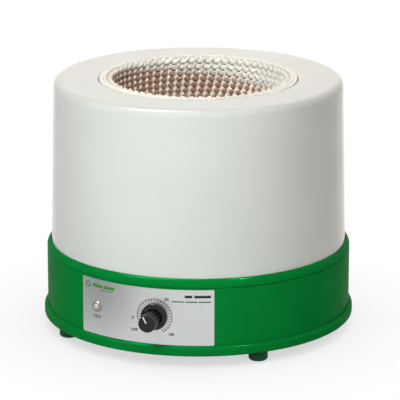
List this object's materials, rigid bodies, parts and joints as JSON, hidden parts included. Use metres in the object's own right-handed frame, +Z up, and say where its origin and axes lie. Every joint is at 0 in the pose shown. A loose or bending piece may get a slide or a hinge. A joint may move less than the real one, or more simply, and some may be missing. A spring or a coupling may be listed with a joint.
{
  "type": "heating mantle",
  "caption": "Round electric heating mantle for a two litre round-bottom flask: white shell with a knitted glass-yarn pocket on a green base with feet, control panel, dial knob and lamp.",
  "frame": {"origin": "on the surface it stands on, under the middle of the flask pocket", "axes": "+Z up out of the pocket, the control panel faces -Y, +Y out of the mains inlet at the back"},
  "size_m": [0.309, 0.3315, 0.2498],
  "materials": {
    "shell_enamel": "gloss",
    "base_enamel": "gloss",
    "foot_rubber": "matte",
    "zinc_steel": "satin",
    "shield_sheet": "satin",
    "ceramic": "matte",
    "mineral_wool": "matte",
    "glass_cloth": "matte",
    "glass_yarn": "matte",
    "heater_tape": "matte",
    "braid": "matte",
    "panel_metal": "satin",
    "dial_ink": "matte",
    "knob_plastic": "gloss",
    "white_inlay": "satin",
    "brass": "satin",
    "nickel": "polished",
    "phenolic": "satin",
    "lens": "gloss",
    "lamp_glass": "gloss",
    "black_plastic": "satin",
    "board": "satin",
    "heat_sink": "satin",
    "choke_wire": "gloss",
    "film_yellow": "gloss",
    "fuse_glass": "gloss",
    "block_plastic": "satin"
  },
  "bodies": {
    "mantle": {"shell_top": "shell_enamel", "shell_side": "shell_enamel", "collar_ring": "base_enamel", "base_wall": "base_enamel", "bottom_tray": "base_enamel", "rubber_foot_front_left": "foot_rubber", "rubber_foot_front_right": "foot_rubber", "rubber_foot_rear_left": "foot_rubber", "rubber_foot_rear_right": "foot_rubber", "foot_screws": "zinc_steel", "support_posts": "zinc_steel", "shell_screws": "zinc_steel", "heat_shield": "shield_sheet", "ceramic_bush": "ceramic", "insulation_wool": "mineral_wool", "glass_cloth_liner": "glass_cloth", "knit_upper": "glass_yarn", "knit_middle": "glass_yarn", "knit_bottom": "glass_yarn", "heating_tape": "heater_tape", "mouth_roll": "braid", "control_panel": "panel_metal", "printed_dial": "dial_ink", "potentiometer_bush": "nickel", "potentiometer_can": "nickel", "potentiometer_wafer": "phenolic", "potentiometer_washer": "zinc_steel", "potentiometer_nut": "nickel", "lamp_holder": "nickel", "lamp_lens": "lens", "lamp_bulb": "lamp_glass", "lamp_nut": "zinc_steel", "mains_inlet": "black_plastic", "inlet_pins": "nickel", "inlet_tabs": "nickel", "earth_stud": "brass", "earth_nut": "brass", "control_board": "board", "board_standoffs": "brass", "board_screws": "zinc_steel", "heat_sink": "heat_sink", "triac": "black_plastic", "choke": "choke_wire", "capacitor": "film_yellow", "fuse_tube": "fuse_glass", "fuse_clips": "nickel", "terminal_block": "block_plastic", "heater_leads": "glass_cloth"},
    "knob": {"control_knob": "knob_plastic", "knob_pointer": "white_inlay", "knob_insert": "brass", "knob_set_screw": "zinc_steel", "potentiometer_shaft": "zinc_steel"}
  },
  "joints": [
    {"name": "knob_turn", "type": "hinge", "parent": "mantle", "child": "knob", "pos_m": [0.01252, -0.15098, 0.049], "axis": [-0.0826, 0.9966, 0], "range_deg": [-104, 176]}
  ]
}
